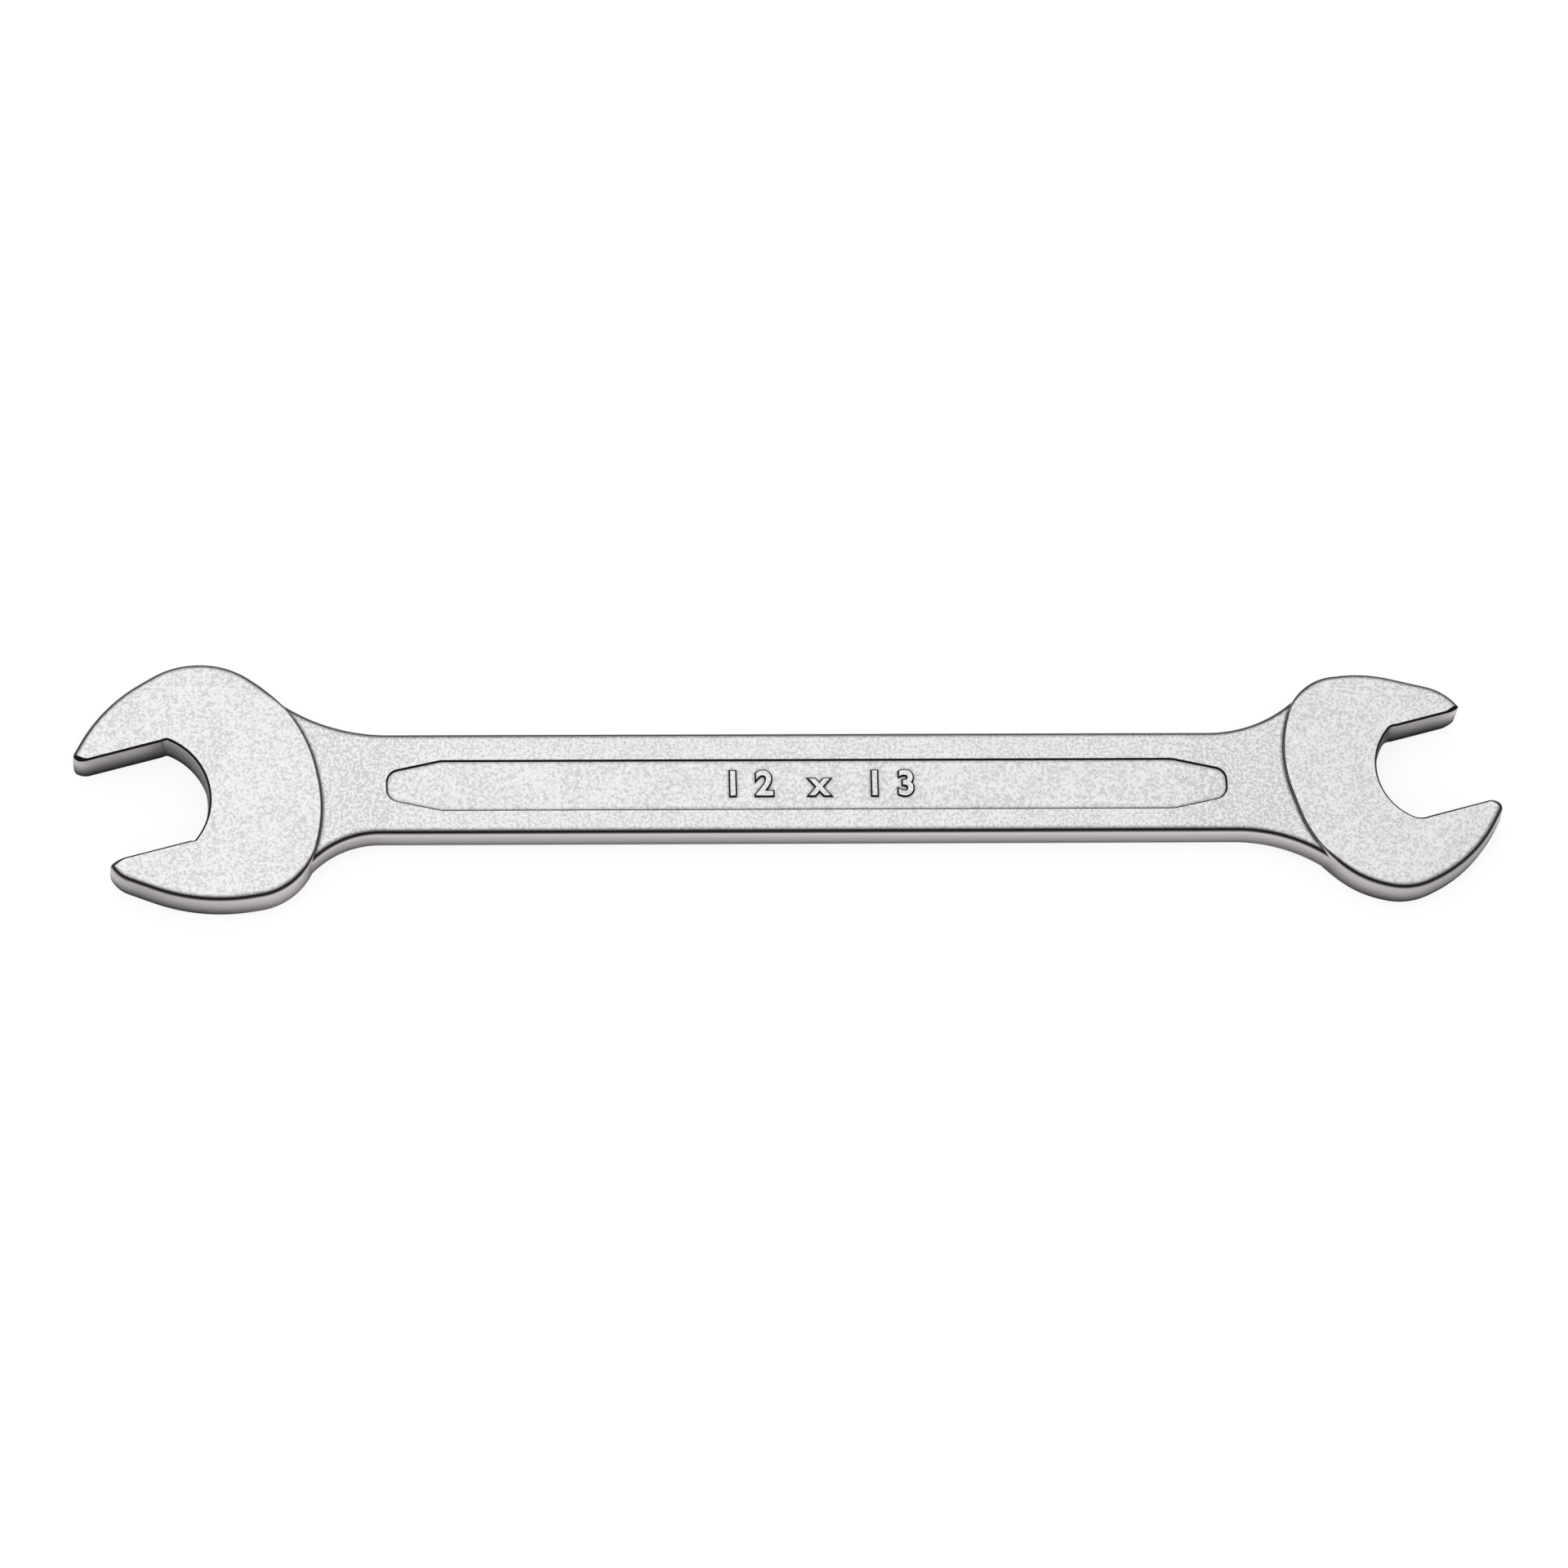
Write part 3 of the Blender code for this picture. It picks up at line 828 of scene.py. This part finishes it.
def makeFloor():
    bm = bmesh.new()
    bmesh.ops.create_grid(bm, x_segments=2, y_segments=2, size=studio["floorSize"] / 2)
    mesh = bpy.data.meshes.new("studio_floor")
    bm.to_mesh(mesh)
    bm.free()
    floor = linkNew("studio_floor", mesh)
    material = bpy.data.materials.new("pale_floor")
    material.use_nodes = True
    maker = TreeMaker(material.node_tree)
    shader = material.node_tree.nodes["Principled BSDF"]
    albedo = studio["floorAlbedo"]
    shader.inputs["Base Color"].default_value = (albedo, albedo, albedo, 1)
    shader.inputs["Roughness"].default_value = 0.9
    shader.inputs["Specular IOR Level"].default_value = 0.1
    # painted contact shadow: the floor's glow, as the metal sees it, is dimmed where the object
    # hems the floor in
    path = maker.add("ShaderNodeLightPath")
    glossy = Wire(maker, path.socket.node.outputs["Is Glossy Ray"])
    inputs = {"Distance": studio["contactSize"]}
    openness = maker.add("ShaderNodeAmbientOcclusion", {"samples": 8}, inputs, "AO")
    bright = ((openness - studio["contactFrom"]) * studio["contactGain"]).clamp()
    dim = 1 - glossy * (1 - bright)
    glow = seenDirectly(maker) * studio["floorGlow"] * dim
    glow = maker.add("ShaderNodeCombineColor", inputs=[glow, glow, glow])
    material.node_tree.links.new(glow.socket, shader.inputs["Emission Color"])
    shader.inputs["Emission Strength"].default_value = 1
    mesh.materials.append(material)


def makeTent():
    # a white tent that only reflections see, brightest near the top and dim towards the horizon
    bm = bmesh.new()
    bmesh.ops.create_uvsphere(bm, u_segments=64, v_segments=32, radius=studio["tentRadius"])
    below = [vertex for vertex in bm.verts if vertex.co.z < -studio["tentHem"]]
    bmesh.ops.delete(bm, geom=below, context="VERTS")
    mesh = bpy.data.meshes.new("white_tent")
    bm.to_mesh(mesh)
    bm.free()
    mesh.shade_smooth()
    tent = linkNew("white_tent", mesh)
    tent.visible_camera = False
    tent.visible_diffuse = False
    tent.visible_shadow = False
    tent.visible_transmission = False
    material = bpy.data.materials.new("white_tent")
    material.use_nodes = True
    maker = TreeMaker(material.node_tree)
    shader = material.node_tree.nodes["Principled BSDF"]
    place = maker.add("ShaderNodeTexCoord", output="Object")
    way = maker.add("ShaderNodeVectorMath", {"operation": "NORMALIZE"}, [place])
    leaning = [math.tan(math.radians(angle)) for angle in studio["tentLeaning"]]
    brightest = Vector((*leaning, 1)).normalized()
    operation = {"operation": "DOT_PRODUCT"}
    cosine = maker.add("ShaderNodeVectorMath", operation, [way, brightest], "Value")
    angle = cosine.math("MINIMUM", 1).math("ARCCOSINE") * math.degrees(1)
    away = angle.risen(studio["tentFullAngle"], studio["tentDimAngle"])
    glow = 1 - away * (1 - studio["tentDimmest"])
    glow = maker.add("ShaderNodeCombineColor", inputs=[glow, glow, glow])
    material.node_tree.links.new(glow.socket, shader.inputs["Emission Color"])
    shader.inputs["Emission Strength"].default_value = 1
    shader.inputs["Base Color"].default_value = (0, 0, 0, 1)
    shader.inputs["Specular IOR Level"].default_value = 0
    mesh.materials.append(material)


def makeSky():
    world = bpy.data.worlds.new("studioSky")
    bpy.context.scene.world = world
    world.use_nodes = True
    maker = TreeMaker(world.node_tree)
    background = world.node_tree.nodes["Background"]
    background.inputs["Color"].default_value = (1, 1, 1, 1)
    seen = seenDirectly(maker)
    strength = studio["skyStrength"] + seen * (1 - studio["skyStrength"])
    world.node_tree.links.new(strength.socket, background.inputs["Strength"])


def makeLamp():
    light = bpy.data.lights.new("softbox", "AREA")
    light.shape = "DISK"
    light.size = studio["lampSize"]
    light.energy = studio["lampPower"]
    lamp = linkNew("softbox", light)
    lamp.visible_glossy = False
    place = Vector(studio["lampPlace"])
    aim = (-place).to_track_quat("-Z", "Y").to_matrix().to_4x4()
    lamp.matrix_world = Matrix.Translation(place) @ aim


# the photograph's view: target, direction to the camera and turn about the line of sight
view = {
    "target": (-0.00062, 0.00046, 0.0030),
    "azimuth": 10.5,
    "elevation": 70.0,
    "roll": 9.69,
    "distance": 1.0,
    "pixelsPerMetre": 10162,
    "imagePixels": 1920,
    "sensorWidth": 36,
}


def makeCamera():
    angles = view["azimuth"], view["elevation"], view["roll"]
    azimuth, elevation, roll = [math.radians(angle) for angle in angles]
    out = Vector((-math.sin(azimuth) * math.cos(elevation),
                  -math.cos(azimuth) * math.cos(elevation), math.sin(elevation)))
    level = Vector((math.cos(azimuth), -math.sin(azimuth), 0))
    upright = out.cross(level)
    right = math.cos(roll) * level + math.sin(roll) * upright
    up = math.cos(roll) * upright - math.sin(roll) * level
    data = bpy.data.cameras.new("photoCamera")
    data.sensor_width = view["sensorWidth"]
    imageWidth = view["imagePixels"] / view["pixelsPerMetre"]
    data.lens = view["sensorWidth"] * view["distance"] / imageWidth
    camera = linkNew("photoCamera", data)
    turn = Matrix((right, up, out)).transposed().to_4x4()
    place = Vector(view["target"]) + out * view["distance"]
    camera.matrix_world = Matrix.Translation(place) @ turn
    bpy.context.scene.camera = camera


makeFloor()
makeTent()
makeSky()
makeLamp()
makeCamera()
bpy.context.scene.view_settings.view_transform = "Standard"
print("studio set")
